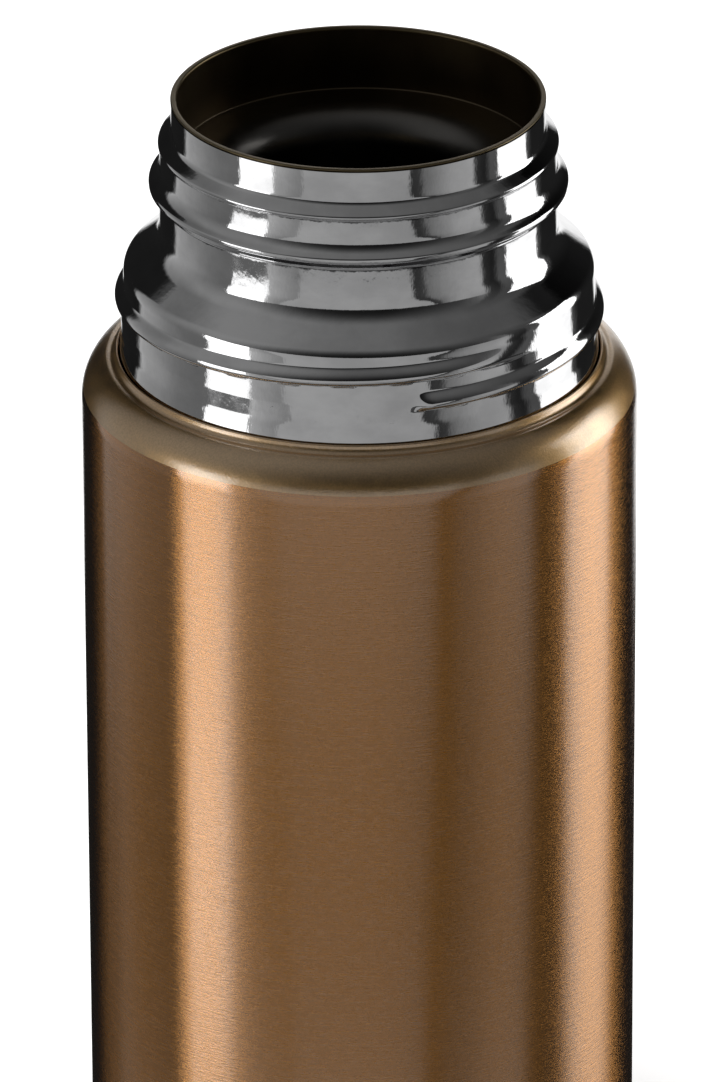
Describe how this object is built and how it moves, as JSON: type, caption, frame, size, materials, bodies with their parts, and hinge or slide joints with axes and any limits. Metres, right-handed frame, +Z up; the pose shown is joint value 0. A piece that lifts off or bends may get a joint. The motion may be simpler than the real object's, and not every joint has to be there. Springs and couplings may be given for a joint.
{
  "type": "vacuum growler bottle",
  "caption": "Wide-mouth vacuum-insulated steel growler without its lid: brushed copper-lacquered body, polished stepped and threaded neck, sealed double wall, silicone foot.",
  "frame": {"origin": "centre of the foot on the surface that the growler stands on", "axes": "+Z up along the bottle's axis to the mouth, -Y the front, where the neck thread begins, +X to the right seen from the front"},
  "size_m": [0.12, 0.12, 0.27],
  "materials": {
    "copper_lacquer": "circumferentially brushed steel under a clear copper-brown lacquer",
    "polished_steel": "mirror polished with faint turning lines",
    "liner_steel": "electropolished, dark and smooth",
    "bottom_steel": "electropolished",
    "copper_foil": "bright thin foil",
    "plain_steel": "plain rolled sheet",
    "solder_glass": "opaque dark fused bead",
    "getter_alloy": "pressed grey powder metal",
    "clip_steel": "thin bright strip",
    "cover_steel": "spun satin steel",
    "silicone": "matt moulded silicone"
  },
  "bodies": {
    "root": {"outer_shell": "copper_lacquer", "neck_collar": "polished_steel", "inner_liner": "liner_steel", "liner_bottom": "bottom_steel", "foil_wrap": "copper_foil", "foil_disc": "copper_foil", "base_plate": "plain_steel", "seal_plug": "solder_glass", "getter_pellet": "getter_alloy", "getter_clip": "clip_steel", "base_cover": "cover_steel", "foot_ring": "silicone"}
  },
  "joints": []
}
